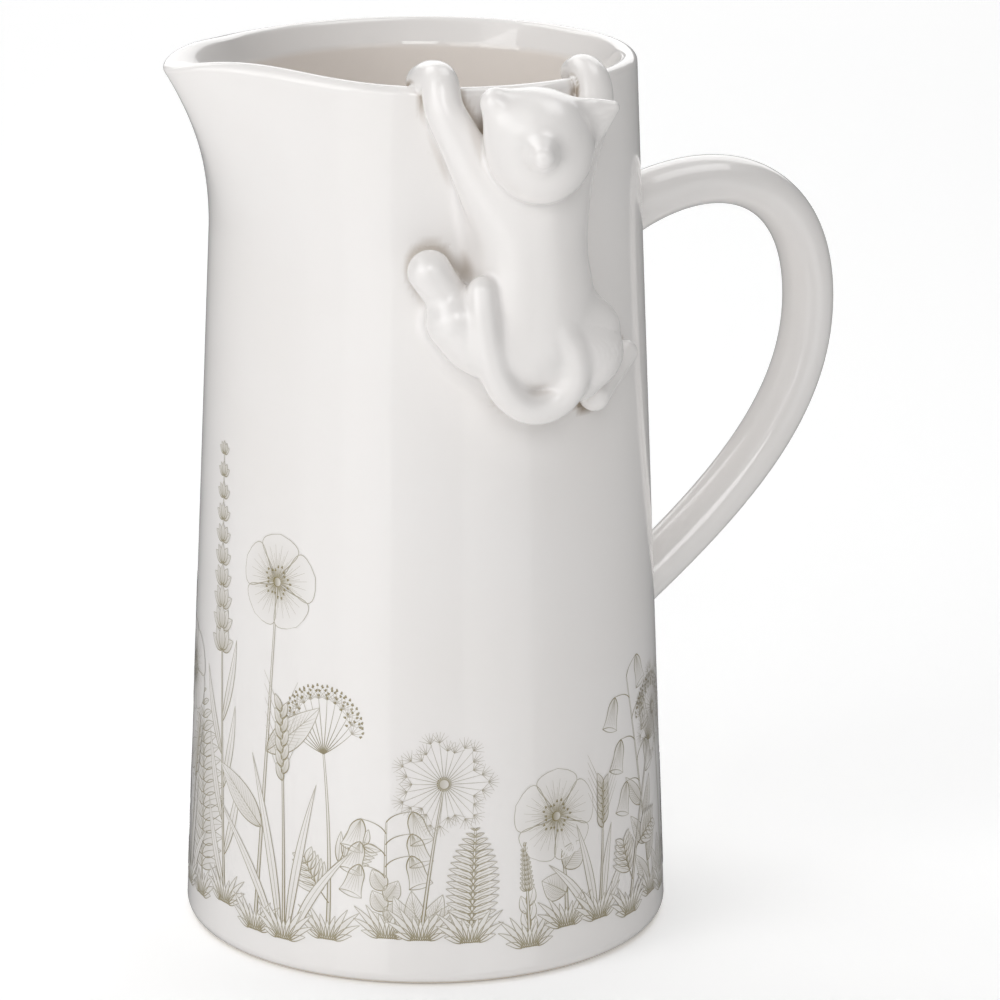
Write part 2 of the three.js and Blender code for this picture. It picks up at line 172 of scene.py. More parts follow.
def vessel_rows():
    """The section turned about the axis, its columns crowded toward the spout, with the spout's pull."""
    out, height = vessel_section().T[..., None]
    even = np.linspace(-np.pi, np.pi, VESSEL_COLUMNS, endpoint=False)
    angle = even - SPOUT_CROWDING * np.sin(even)
    channel = np.clip((wall_radius(height) - out) / (2 * RIM_ROUND), 0, 1)
    pull_out, pull_up = spout_pull(angle, height, channel)
    pulled = out + pull_out * (out > 0)
    raised = height + pull_up * (out > 0)
    return np.stack([-pulled * np.cos(angle), -pulled * np.sin(angle), raised], axis=-1)


def closed_skin(rows):
    """Points and faces of rows of rings. The first and last rows are poles, each kept as one point."""
    count, columns = rows.shape[:2]
    points = np.concatenate([rows[0, :1], rows[1:-1].reshape(-1, 3), rows[-1, :1]])
    ring = 1 + np.arange((count - 2) * columns).reshape(count - 2, columns)
    turned = np.roll(ring, -1, axis=1)
    quads = np.stack([ring[:-1], turned[:-1], turned[1:], ring[1:]], axis=-1).reshape(-1, 4)
    low = np.stack([np.zeros(columns, int), turned[0], ring[0]], axis=-1)
    high = np.stack([np.full(columns, len(points) - 1), ring[-1], turned[-1]], axis=-1)
    return points, [*quads.tolist(), *low.tolist(), *high.tolist()]


def placed(name, data):
    """Puts an object that shows the data into the scene."""
    made = bpy.data.objects.new(name, data)
    bpy.context.scene.collection.objects.link(made)
    return made


def carry(made, name, values):
    """Lets a piece carry a value on each of its points, for its material to read."""
    layer = made.data.attributes.new(name, "FLOAT", "POINT")
    layer.data.foreach_set("value", values)


def piece(name, points, faces, material, *nodes):
    """Makes a smooth piece that rides on the pitcher, takes the given material and hides the CAD nodes it
    stands for.
    """
    mesh = bpy.data.meshes.new(name)
    mesh.from_pydata(points.tolist(), [], faces)
    mesh.polygons.foreach_set("use_smooth", np.ones(len(mesh.polygons), bool))
    mesh.materials.append(material)
    made = placed(name, mesh)
    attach(made, "root")
    if nodes:
        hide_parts(*nodes)
    return made


class Signal:
    """One output of a material's nodes. Arithmetic on it adds Math nodes, and node() adds any other."""

    def __init__(self, tree, socket=None):
        self.tree = tree
        self.socket = socket

    def node(self, kind, settings, sockets, output=0):
        """Adds a node, applies its settings, fills or links its sockets and wraps one of its outputs."""
        made = self.tree.nodes.new("ShaderNode" + kind)
        for name, value in settings.items():
            setattr(made, name, value)
        for name, value in sockets.items():
            if isinstance(value, Signal):
                self.tree.links.new(value.socket, made.inputs[name])
            else:
                made.inputs[name].default_value = value
        return Signal(self.tree, None if output is None else made.outputs[output])

    def math(self, operation, first, second, clamp=False):
        settings = {"operation": operation, "use_clamp": clamp}
        return self.node("Math", settings, {0: first, 1: second})

    def __add__(self, other):
        return self.math("ADD", self, other)

    def __sub__(self, other):
        return self.math("SUBTRACT", self, other)

    def __rsub__(self, other):
        return self.math("SUBTRACT", other, self)

    def __mul__(self, other):
        return self.math("MULTIPLY", self, other)

    __radd__ = __add__

    def clamped(self):
        return self.math("ADD", self, 0, clamp=True)

    def blend(self, first, second):
        """A colour that goes from the first to the second as this value goes from 0 to 1."""
        sockets = {0: self, 6: first, 7: second}
        return self.node("Mix", {"data_type": "RGBA"}, sockets, output=2)

    def noise(self, size, detail=2.0):
        """Soft noise whose lumps are about a size across, on the piece's own coordinates."""
        place = self.node("TexCoord", {}, {}, output="Object")
        return self.node("TexNoise", {}, {"Vector": place, "Scale": 1 / size, "Detail": detail})

    def height(self):
        """The height above the table."""
        place = self.node("TexCoord", {}, {}, output="Object")
        return self.node("SeparateXYZ", {}, {"Vector": place}, output="Z")

    def attribute(self, name):
        """A value that the mesh carries on its points."""
        return self.node("Attribute", {"attribute_name": name}, {}, output="Fac")

    def bumps(self, value, strength, distance):
        """A normal that follows the value as a height."""
        return self.node("Bump", {}, {"Strength": strength, "Distance": distance, "Height": value})


def bare_foot(start):
    """One on the wiped foot ring and under the floor, and nothing a little higher."""
    return (BARE_LEVEL - start.height() * (1 / BARE_FADE)).clamped()


def glaze_colour(start):
    """Warm white that drifts slightly toward cream, is painted warmer and lighter inside the vessel below the
    lip, the lightness being painted light, is darker and browner where glaze pools, which is partly real
    pooling and partly painted shade in creases and slots, and is bare at the foot."""
    drift = (start.noise(DRIFT_SIZE) * 1.6 - 0.4).clamped()
    mottle = start.noise(MOTTLE_SIZE, 4.0)
    white = drift.blend(GLAZE_WHITE, GLAZE_CREAM)
    lit_inside = start.attribute("inside").blend(white, GLAZE_INSIDE_LIT)
    pooled_and_shaded = start.attribute("pooling_and_shade").blend(lit_inside, GLAZE_POOLED_AND_SHADED)
    return bare_foot(start).blend(pooled_and_shaded, mottle.blend(BISCUIT_DARK, BISCUIT))


def glaze_roughness(start):
    """Nearly even under the coat, with a faint drift, and chalky at the bare foot."""
    return 0.32 + start.noise(CLOUD_SIZE) * 0.1 + bare_foot(start) * 0.4


def glaze_coat(start):
    """Full everywhere but on the bare foot."""
    return 1 - bare_foot(start)


def glaze_ripple(start):
    """The faint waves and orange peel of a dipped glaze."""
    waves = start.noise(WAVE_SIZE, 1.0) * 0.75
    peel = start.noise(PEEL_SIZE) * 0.06
    return start.bumps(waves + peel, 0.25, 0.5 * MM)


def fired_glaze(name, colour, coat_roughness=GLAZE_SHINE):
    """A fired and glazed surface: a matt body under a clear glassy coat."""
    material = bpy.data.materials.new(name)
    material.use_nodes = True
    tree = material.node_tree
    tree.nodes.clear()
    start = Signal(tree)
    shader = start.node("BsdfPrincipled", {}, {
        "Base Color": colour(start),
        "Roughness": glaze_roughness(start),
        "Coat Weight": glaze_coat(start),
        "Normal": glaze_ripple(start),
        "Specular IOR Level": 0.35,
        "Coat Roughness": coat_roughness,
        "Coat IOR": 1.5,
    })
    start.node("OutputMaterial", {}, {"Surface": shader}, output=None)
    return material


white_glaze = fired_glaze("white_glaze", glaze_colour)
vessel_points, vessel_faces = closed_skin(vessel_rows())
vessel = piece("vessel", vessel_points, vessel_faces, white_glaze, "pitcher_body")
# The inside below the lip carries painted light, lighter and warmer than the outside
outside = np.hypot(*vessel_points.T[:2]) > wall_radius(vessel_points[:, 2]) - RIM_ROUND / 2
below_lip = np.interp((HEIGHT - vessel_points[:, 2]) / MM, INSIDE_LIGHT_DEPTH, (0, 1))
carry(vessel, "inside", np.where(outside, 0, below_lip))


# The handle: an oval strap of clay bent to a loop, wider at its upper root. Both ends are luted to the
# wall with slip, whose fillet is smoothed with a wet finger.
TOP_DROP = 50.5 * MM
SHOULDER_DROP = 33.5 * MM
SHOULDER_OUT = 29 * MM
CROWN_DROP = 80 * MM
CROWN_OUT = 57.8 * MM
CROWN_RISE = 37 * MM
CROWN_FALL = 31 * MM
ELBOW_DROP = 134.5 * MM
ELBOW_OUT = 32.2 * MM
LOW_DROP = 161 * MM
HANDLE_WIDTH = 18 * MM
HANDLE_THICKNESS = 13.5 * MM
ROOT_FLARE = 2.4 * MM
FLARE_LENGTH = 40 * MM
HANDLE_FILLET = 2.6 * MM
HANDLE_ROWS = 420
HANDLE_COLUMNS = 72
HANDLE_CROWDING = 2.6
FINE_STEPS = 400
FILLET_ROUNDS = 8


def bezier(corners, share):
    """A cubic curve through its first and last corners, drawn toward the two between them."""
    weights = np.stack([(1 - share) ** 3, 3 * share * (1 - share) ** 2, 3 * share**2 * (1 - share), share**3])
    return weights.T @ np.array(corners)


def handle_line():
    """The loop's middle line in the plane of the handle: two curves that meet upright at the crown."""
    def place(drop, out, rise=0.0):
        return wall_radius(HEIGHT - drop) + out, HEIGHT - drop + rise

    upper = [place(TOP_DROP, -WALL / 2), place(SHOULDER_DROP, SHOULDER_OUT),
             place(CROWN_DROP, CROWN_OUT, CROWN_RISE), place(CROWN_DROP, CROWN_OUT)]
    lower = [place(CROWN_DROP, CROWN_OUT), place(CROWN_DROP, CROWN_OUT, -CROWN_FALL),
             place(ELBOW_DROP, ELBOW_OUT), place(LOW_DROP, -WALL / 2)]
    share = np.linspace(0, 1, FINE_STEPS)
    fine = np.concatenate([bezier(upper, share), bezier(lower, share)[1:]])
    length = np.concatenate([[0], np.cumsum(np.linalg.norm(np.diff(fine, axis=0), axis=1))])
    even = np.linspace(0, 1, HANDLE_ROWS)
    wanted = length[-1] * (even - np.sin(2 * np.pi * even) / (HANDLE_CROWDING * np.pi))
    line = np.stack([np.interp(wanted, length, fine[:, axis]) for axis in (0, 1)], axis=1)
    return line, wanted


def handle_rows():
    """An oval carried along the loop. Close to the wall each point moves away from the loop's middle by
    a quarter circle of its distance from the wall, so the root spreads into a fillet."""
    line, along = handle_line()
    tangent = np.gradient(line, axis=0)
    tangent /= np.linalg.norm(tangent, axis=1, keepdims=True)
    angle = np.linspace(0, 2 * np.pi, HANDLE_COLUMNS, endpoint=False)
    thickness = HANDLE_THICKNESS + ROOT_FLARE * np.maximum(0, 1 - along / FLARE_LENGTH) ** 2
    side = HANDLE_WIDTH / 2 * np.cos(angle) * np.ones((HANDLE_ROWS, 1))
    lift = thickness[:, None] / 2 * np.sin(angle)
    size = np.hypot(side, lift)

    def grown(spread):
        grow = 1 + spread / size
        return np.stack([line[:, :1] + tangent[:, 1:] * lift * grow, side * grow,
                         line[:, 1:] - tangent[:, :1] * lift * grow], axis=-1)

    spread = np.zeros_like(size)
    for _ in range(FILLET_ROUNDS):
        out, aside, height = np.moveaxis(grown(spread), -1, 0)
        gap = np.hypot(out, aside) - wall_radius(height)
        room = np.clip(HANDLE_FILLET - gap, 0, HANDLE_FILLET)
        spread = (spread + HANDLE_FILLET - np.sqrt(HANDLE_FILLET**2 - room**2)) / 2
    rows = grown(spread)
    poles = rows[[0, -1]].mean(axis=1, keepdims=True) * np.ones((1, HANDLE_COLUMNS, 1))
    return np.concatenate([poles[:1], rows, poles[1:]])


handle_points, handle_faces = closed_skin(handle_rows())
piece("handle_loop", handle_points, handle_faces, white_glaze, "handle")


# The cat: press-moulded limbs, torso and head, luted to the wall and to each other while the clay is
# leather hard. The joints are sponged soft and then glazed over with the vessel, so each limb flows
# into the next.
CAT_DIRECTION = -87
# A station is its turn from that direction in degrees, its rise from the rim, its distance out from the
# wall, and the limb's half sizes there, along and away from the wall
STATIONS = {
    "cat_torso": [
        (0.4, -25, 3, 14.2, 13.5), (0.4, -40, 3, 14.6, 13.5), (0.3, -53, 3, 16.6, 14.6),
        (0.6, -65.5, 3, 16.8, 14.4)],
    "cat_haunch_left": [(-5, -68.5, 5, 8, 7.6), (-13.4, -66, 5.8, 8.5, 7.9), (-19.2, -59.6, 6, 8, 7.5)],
    "cat_haunch_right": [(9.5, -75.5, 6, 9, 8.5), (12.4, -70.5, 7.5, 10.4, 9.6), (14, -64.6, 7, 8.6, 7.9)],
    "cat_foreleg_left": [
        (-4.5, -37, 3.5, 9, 8), (-12, -25, 5.6, 7.2, 6.2), (-18.1, -12, 4.7, 5.7, 5.1),
        (-21.5, -4.5, 3.6, 5.2, 4.9), (-22.6, 2, 1, 5, 4.6), (-24.6, 2.2, -4, 5.1, 4.7),
        (-26.6, 0.9, -7.6, 4.8, 4.5)],
    "cat_foreleg_right": [
        (4.5, -37, 3.5, 8.4, 7.6), (9.8, -25, 4.8, 6.4, 5.8), (16.8, -13, 4.4, 5.2, 4.8),
        (20.6, -6.5, 3.4, 5.3, 4.7), (22.6, -1.6, 1.2, 5.4, 4.7), (25, 0.3, -3, 5.6, 4.7),
        (27, -0.7, -6.4, 5.2, 4.6)],
    "cat_hind_paw_left": [(-21.2, -53.4, 5, 5.5, 5.1), (-25.2, -46.4, 5.8, 5.8, 5.6)],
    "cat_hind_paw_right": [
        (18.2, -83.8, 3.2, 5.2, 4.6), (24.6, -80.2, 2.8, 3.6, 3.5), (31.6, -75.8, 2.6, 3.6, 3.5)],
    "cat_tail": [
        (2.6, -62.5, 13.8, 3.4, 3.4), (4.8, -68.5, 14, 4.1, 4.1), (5.8, -75, 12.8, 4.4, 4.4),
        (4, -80.6, 10.8, 4.5, 4.5), (0, -83.2, 9.8, 4.4, 4.4), (-4.4, -82.6, 9.6, 4.3, 4.3),
        (-8.6, -78.4, 10.2, 4.3, 4.3), (-11.6, -71.6, 11.2, 4.3, 4.3), (-13.3, -64, 11.8, 4.3, 4.3),
        (-13.9, -57.2, 11.6, 4.2, 4.2), (-13.9, -51, 10.4, 4, 4)],
}
HEAD_PLACE = (-2.3, -12.8, 15)
HEAD_SIZE = np.array([14, 15.6, 15.1]) * MM
HORN_EMBED = 4.4 * MM
HORNS = {
    "cat_ear_left": dict(aside=-98, above=45, length=6.2, base=7.4, tip=4.2, thick=5.2, taper=1),
    "cat_ear_right": dict(aside=80, above=25, length=9.2, base=7.6, tip=1.8, thick=4.2, taper=1.6),
    "cat_muzzle": dict(aside=-22, above=3, length=7.4, base=6.6, tip=3, thick=6.6, taper=1),
}
CAT_STEP = 0.8 * MM
COARSE = 4
CAT_MARGIN = 13 * MM
CAT_SPARE = 10 * MM
CAT_LIFT = 0.03 * MM
CAT_SHELL = 1.0 * MM
SPINE_STEPS = 16
CLOSE_SHARE = 1.5
SETTLE_ROUNDS = 2
SLOPE_REACH = 0.12 * MM
PAW_REACH = 14 * MM
CAT_SHINE = 0.24
# How softly each limb runs into those before it, and into the wall
BODY_BLENDS = {"cat_haunch_left": 6, "cat_haunch_right": 6, "cat_foreleg_left": 7, "cat_foreleg_right": 6,
               "cat_hind_paw_left": 2.5, "cat_hind_paw_right": 1.5, "cat_tail": 1.9}
HEAD_BLENDS = {"cat_ear_left": 5, "cat_ear_right": 3, "cat_muzzle": 1.7}
CHIN_BLEND = 1.4
WALL_BLENDS = {"cat_torso": 10, "cat_haunch_left": 7, "cat_haunch_right": 3, "cat_foreleg_left": 4,
               "cat_foreleg_right": 3, "cat_hind_paw_left": 2}
WALL_BLEND = 1.5
BLEND_FADE = 2.5 * MM
CRISP_SIDE = (-4, 10)
CRISP_RISE = (-10, -3)
CRISP_SHARE = 0.25
RECESS_HEIGHTS = (2, 4, 7)
# How pooled glaze and painted shade darken the cat and the wall beside it
POOLING_SHADE_RECESS = (0.45, 0.8)
POOLING_SHADE_DEPTH = (1, 5)
POOLING_SHADE_OPEN = 0.2
POOLING_SHADE_PAW_SHARE = 0.35
POOLING_SHADE_PAW_FADE = 4 * MM


def on_wall(turn, rise, out):
    """A place by its turn from the cat's direction in degrees, its rise from the rim and its distance out."""
    angle = np.radians(CAT_DIRECTION + np.asarray(turn))
    height = HEIGHT + np.asarray(rise) * MM
    radius = wall_radius(np.minimum(height, HEIGHT)) + np.asarray(out) * MM
    return np.stack([radius * np.cos(angle), radius * np.sin(angle), height], axis=-1)


def facing(turn):
    """The wall's outward direction at a turn from the cat's direction in degrees."""
    angle = np.radians(CAT_DIRECTION + turn)
    return np.array([np.cos(angle), np.sin(angle), 0])


def smooth_spine(stops):
    """A centripetal Catmull-Rom curve through rows of stops, whose first three columns are places."""
    padded = np.concatenate([[2 * stops[0] - stops[1]], stops, [2 * stops[-1] - stops[-2]]])
    gaps = np.linalg.norm(np.diff(padded[:, :3], axis=0), axis=1, keepdims=True) ** 0.5
    before, first, last, after = padded[:-3], padded[1:-2], padded[2:-1], padded[3:]
    lead, here, trail = gaps[:-2], gaps[1:-1], gaps[2:]
    leave = ((first - before) / lead - (last - before) / (lead + here)) * here + last - first
    arrive = last - first - ((after - first) / (here + trail) - (after - last) / trail) * here
    share = np.linspace(0, 1, SPINE_STEPS, endpoint=False)[None, :, None]
    first, last, leave, arrive = (part[:, None, :] for part in (first, last, leave, arrive))
    curve = (first + leave * share + (3 * (last - first) - 2 * leave - arrive) * share**2
             + (2 * (first - last) + leave + arrive) * share**3)
    return np.concatenate([curve.reshape(-1, stops.shape[1]), stops[-1:]])


def unit(vectors):
    """The vectors at a length of one."""
    return vectors / np.linalg.norm(vectors, axis=-1, keepdims=True)


def limb(stations):
    """A limb as rows of middles, tangents, across and outward directions and two half sizes."""
    turn, rise, out, wide, thick = np.array(stations, float).T
    sizes = np.stack([wide, thick], axis=1) * MM
    curve = smooth_spine(np.concatenate([on_wall(turn, rise, out), sizes], axis=1))
    tangent = unit(np.gradient(curve[:, :3], axis=0))
    sideways = unit(np.cross(curve[-1, :3] - curve[0, :3], facing(turn.mean())))
    outward = unit(np.cross(tangent, sideways))
    return curve[:, :3], tangent, unit(np.cross(outward, tangent)), outward, curve[:, 3:]


def horn(aside, above, length, base, tip, thick, taper):
    """A knob or flap on the head, as a limb whose line points aside and above the wall's facing. Its sizes
    shrink from the base to the tip with a power of the way along it."""
    outward = facing(HEAD_PLACE[0])
    up = np.array([0.0, 0, 1])
    right = np.cross(up, outward)
    turn, tilt = np.radians([aside, above])
    shares = np.array([np.sin(turn) * np.cos(tilt), np.cos(turn) * np.cos(tilt), np.sin(tilt)])
    along = shares @ np.stack([right, outward, up])
    surface = 1 / np.linalg.norm(shares / HEAD_SIZE)
    sideways = unit(np.cross(up if abs(shares[1]) > np.sqrt(0.5) else outward, along))
    share = np.linspace(0, 1, SPINE_STEPS)[:, None]
    reach = (surface - HORN_EMBED) * (1 - share) + (surface + (length - tip) * MM) * share
    sizes = np.array([base, thick]) * MM * (1 - share**taper) + tip * MM * share**taper
    rows = np.ones((SPINE_STEPS, 1))
    return (on_wall(*HEAD_PLACE) + reach * along, rows * along, rows * sideways,
            rows * np.cross(along, sideways), sizes)


def ellipsoid_distance(offsets, sizes):
    """About how far a point is outside an ellipsoid, from its offset and the half sizes on three axes."""
    scaled = np.linalg.norm(offsets / sizes, axis=-1)
    steepness = np.linalg.norm(offsets / sizes**2, axis=-1)
    return scaled * (scaled - 1) / np.maximum(steepness, 1e-9)


def close_to(points, middle, sizes):
    """Which points are within the margin of the box round a limb."""
    reach = sizes.max() + CAT_MARGIN
    return np.all((points > middle.min(axis=0) - reach) & (points < middle.max(axis=0) + reach), axis=1)


def limb_distance(points, form):
    """About how far points are outside a limb: each is measured in the oval at its nearest place along the
    limb, and past either end in a round cap as long as the smaller half size."""
    middle, tangent, across, outward, sizes = form
    far = np.full(len(points), CAT_MARGIN)
    near = close_to(points, middle, sizes)
    close = points[near]
    nearest = np.argmin((middle**2).sum(axis=1) - 2 * close @ middle.T, axis=1)
    offset = close - middle[nearest]
    slide = (offset * tangent[nearest]).sum(axis=-1)
    beyond = np.where(nearest == 0, np.minimum(slide, 0), 0)
    beyond = np.where(nearest == len(middle) - 1, np.maximum(slide, 0), beyond)
    spacing = np.linalg.norm(np.gradient(middle, axis=0), axis=1)[:, None]
    growth = np.gradient(sizes, axis=0) / spacing
    half = sizes[nearest] + growth[nearest] * (slide - beyond)[:, None]
    aside = (offset * across[nearest]).sum(axis=-1)
    above = (offset * outward[nearest]).sum(axis=-1)
    local = np.stack([aside, above, beyond], axis=1)
    caps = half.min(axis=1, keepdims=True)
    far[near] = np.minimum(ellipsoid_distance(local, np.concatenate([half, caps], axis=1)), CAT_MARGIN)
    return far


def horn_distance(points, form):
    """About how far points are outside a horn: the least distance to the ovals strung along its line, so
    that its sides run smoothly into its round tip."""
    middle, along, across, outward, sizes = form
    far = np.full(len(points), CAT_MARGIN)
    near = close_to(points, middle, sizes)
    axes = np.stack([across[0], outward[0], along[0]])
    for centre, half in zip(middle, sizes):
        local = (points[near] - centre) @ axes.T
        far[near] = np.minimum(far[near], ellipsoid_distance(local, np.append(half, half.min())))
    return far


def head_distance(points):
    """About how far points are outside the round head."""
    outward = facing(HEAD_PLACE[0])
    axes = np.stack([np.cross([0, 0, 1], outward), outward, [0, 0, 1]])
    return np.minimum(ellipsoid_distance((points - on_wall(*HEAD_PLACE)) @ axes.T, HEAD_SIZE), CAT_MARGIN)


def wall_distance(points):
    """How far points are from the round-topped wall: from its middle surface, less half its thickness."""
    angle = np.arctan2(-points[:, 1], -points[:, 0])
    height = points[:, 2] - spout_pull(angle, points[:, 2], 0)[1]
    level = np.minimum(height, HEIGHT - RIM_ROUND)
    deep = np.clip((HEIGHT - RIM_ROUND - level) / (BEVEL_DEPTH - RIM_ROUND), 0, 1)
    half = RIM_ROUND + (WALL / 2 - RIM_ROUND) * deep
    out = np.hypot(points[:, 0], points[:, 1]) - (wall_radius(level) - half)
    return np.hypot(out, height - level) - half - CAT_LIFT


def soft_union(first, second, blend):
    """The nearer of two distances, rounded off where they differ by less than the blend."""
    overlap = np.maximum(blend - np.abs(first - second), 0) / blend
    return np.minimum(first, second) - overlap**2 * blend / 4


CAT_HORNS = {name: horn(**sizes) for name, sizes in HORNS.items()}
CAT_LIMBS = {name: limb(stations) for name, stations in STATIONS.items()}
CAT_NODES = [*CAT_LIMBS, "cat_head", *CAT_HORNS]


def cat_distances(points):
    """How far points are from each limb, from the horns and from the head."""
    distances = {name: limb_distance(points, form) for name, form in CAT_LIMBS.items()}
    distances |= {name: horn_distance(points, form) for name, form in CAT_HORNS.items()}
    distances["cat_head"] = head_distance(points)
    return distances


def cat_surface(points):
    """How far points are outside the cat as it lies on the wall: limbs joined softly in their order, the
    head joined at a crisp chin, and the whole joined to the wall by the blend of the limbs close by, which
    is crisper on the right side and at the rim. Also gives a value that is above zero where the cat, and not
    the bare wall, makes the surface."""
    apart = cat_distances(points)
    body = apart["cat_torso"]
    for name, blend in BODY_BLENDS.items():
        body = soft_union(body, apart[name], blend * MM)
    head = apart["cat_head"]
    for name, blend in HEAD_BLENDS.items():
        head = soft_union(head, apart[name], blend * MM)
    cat = soft_union(body, head, CHIN_BLEND * MM)
    nearness = {name: np.exp(-distance / BLEND_FADE) for name, distance in apart.items()}
    blend = sum(nearness[name] * WALL_BLENDS.get(name, WALL_BLEND) for name in apart)
    blend = blend / sum(nearness.values()) * MM
    turn = np.degrees(np.arctan2(points[:, 1], points[:, 0])) - CAT_DIRECTION
    crisp = np.maximum(np.interp(turn, CRISP_SIDE, (0, 1)),
                       np.interp((points[:, 2] - HEIGHT) / MM, CRISP_RISE, (0, 1)))
    blend = blend * (1 - crisp * (1 - CRISP_SHARE))
    wall = wall_distance(points)
    return soft_union(cat, wall, blend), wall - cat + blend


def surface_net(values, low):
    """The surface where a grid of values is zero: one point in every cell that it crosses, at the mean of
    the crossings on the cell's edges, and one quad round every edge that it crosses."""
    cells = [count - 1 for count in values.shape]
    total = np.zeros((*cells, 3))
    count = np.zeros(cells)
    rings = []
    for axis, beside, above in ((0, 1, 2), (1, 2, 0), (2, 0, 1)):
        first = np.moveaxis(values, axis, 0)[:-1]
        second = np.moveaxis(values, axis, 0)[1:]
        crossing = np.moveaxis((first < 0) != (second < 0), 0, axis)
        share = np.moveaxis(first / np.where(first == second, 1, first - second), 0, axis)
        place = np.argwhere(crossing)
        inner = np.all([(place[:, side] > 0) & (place[:, side] < values.shape[side] - 1)
                        for side in (beside, above)], axis=0)
        place = place[inner]
        where = place.astype(float)
        where[:, axis] += share[tuple(place.T)]
        steps = np.eye(3, dtype=int)
        around = [place - steps[beside] * b - steps[above] * a for b, a in ((0, 0), (1, 0), (1, 1), (0, 1))]
        for cell in around:
            np.add.at(total, tuple(cell.T), where)
            np.add.at(count, tuple(cell.T), 1)
        ring = np.stack([np.ravel_multi_index(tuple(cell.T), cells) for cell in around], axis=1)
        leaving = values[tuple(place.T)] < 0
        rings.append(np.where(leaving[:, None], ring, ring[:, ::-1]))
    used = np.flatnonzero(count)
    number = np.full(count.size, -1)
    number[used] = np.arange(len(used))
    points = total.reshape(-1, 3)[used] / count.reshape(-1, 1)[used]
    return low + points * CAT_STEP, number[np.concatenate(rings)]


def slope(points):
    """The direction in which the cat's distance grows fastest, from its values at the corners of a small
    tetrahedron."""
    corners = np.array([(1, 1, 1), (1, -1, -1), (-1, 1, -1), (-1, -1, 1)])
    return sum(cat_surface(points + SLOPE_REACH * corner)[0][:, None] * corner
               for corner in corners) / (4 * SLOPE_REACH)


def cat_field(low, counts):
    """The cat's distance on a grid: everywhere at coarse steps, then finely wherever a coarse value says
    that the surface may be close."""
    coarse = -(-counts // COARSE)
    cells = np.stack(np.indices(coarse), axis=-1).reshape(-1, 3)
    middle = low + (cells * COARSE + (COARSE - 1) / 2) * CAT_STEP
    values = cat_surface(middle)[0].reshape(coarse)
    for axis in range(3):
        values = values.repeat(COARSE, axis=axis)
    values = values[tuple(slice(count) for count in counts)].copy()
    close = np.abs(values) < CLOSE_SHARE * COARSE * CAT_STEP
    values[close] = cat_surface(low + np.argwhere(close) * CAT_STEP)[0]
    return values


def cat_skin():
    """The cat's surface as points and quads, with normals and the limb that each quad belongs to. Quads
    that lie only on the wall are left out, and so is all behind the wall but the paws inside the rim."""
    corners = np.concatenate([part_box(name) for name in CAT_NODES])
    low = corners.min(axis=0) - CAT_SPARE
    counts = np.ceil((corners.max(axis=0) + CAT_SPARE - low) / CAT_STEP).astype(int)
    points, quads = surface_net(cat_field(low, counts), low)
    for _ in range(SETTLE_ROUNDS):
        steep = slope(points)
        value = cat_surface(points)[0]
        points = points - steep * (value / (steep**2).sum(axis=1))[:, None]
    quads = quads[(cat_surface(points)[1][quads] > 0).any(axis=1)]
    middles = points[quads].mean(axis=1)
    apart = cat_distances(middles)
    names = list(apart)
    owner = np.array(names)[np.argmin([apart[name] for name in names], axis=0)]
    behind = np.hypot(middles[:, 0], middles[:, 1]) < wall_radius(middles[:, 2]) - WALL / 2
    paws = np.char.startswith(owner, "cat_foreleg") & (middles[:, 2] > HEIGHT - PAW_REACH)
    kept = paws | ~behind
    return points, quads[kept], unit(slope(points)), owner[kept]


def recess(points, normals):
    """How deep points lie in a crease or a hollow: how much closer than its height the surface is to a
    place above each point, as a share of that height, meaned over some heights."""
    above = [cat_surface(points + height * MM * normals)[0] / (height * MM) for height in RECESS_HEIGHTS]
    return np.clip(1 - np.mean(above, axis=0), 0, 1)


def shell(points, quads, normals):
    """A patch of the cat's surface closed as a thin shell: the patch, a copy of it set inward, and a band
    along each edge that belongs to one quad only. Gives its points, faces and corners' normals, and for each
    point the normal of the cat's surface there."""
    used, flat = np.unique(quads, return_inverse=True)
    outer = flat.reshape(-1, 4)
    count = len(used)
    edges = np.stack([outer, np.roll(outer, -1, axis=1)], axis=-1).reshape(-1, 2)
    code = np.sort(edges, axis=1) @ [count, 1]
    single = np.isin(code, np.unique(code)[np.unique(code, return_counts=True)[1] == 1])
    rim = edges[single]
    band = np.stack([rim[:, 1], rim[:, 0], rim[:, 0] + count, rim[:, 1] + count], axis=1)
    faces = np.concatenate([outer, outer[:, ::-1] + count, band])
    spots = np.concatenate([points[used], points[used] - CAT_SHELL * normals[used]])
    first, second, _, last = spots[band.T]
    band_normals = unit(np.cross(second - first, last - first))
    corners = np.concatenate([normals[used][outer], -normals[used][outer[:, ::-1]],
                              np.repeat(band_normals[:, None], 4, axis=1)])
    return spots, faces, corners.reshape(-1, 3), np.tile(normals[used], (2, 1))


def pool_and_shade(made, points, normals, share=1):
    """Lets a piece carry how much pooled glaze and painted shade darken each point: more the deeper it lies
    in a recess and the closer to the wall, and less by the left hind leg, which stands clear. The darkening
    is partly real pooling of glaze and partly painted shade in the creases and slots."""
    deep = np.interp(wall_distance(points) / MM, POOLING_SHADE_DEPTH, (1, POOLING_SHADE_OPEN))
    apart = cat_distances(points)
    leg = np.maximum(np.minimum(apart["cat_hind_paw_left"], apart["cat_haunch_left"]), 0)
    clear = 1 - (1 - POOLING_SHADE_PAW_SHARE) * np.exp(-leg / POOLING_SHADE_PAW_FADE)
    pooled_and_shaded = share * deep * clear * np.interp(recess(points, normals), POOLING_SHADE_RECESS, (0, 1))
    carry(made, "pooling_and_shade", pooled_and_shaded)


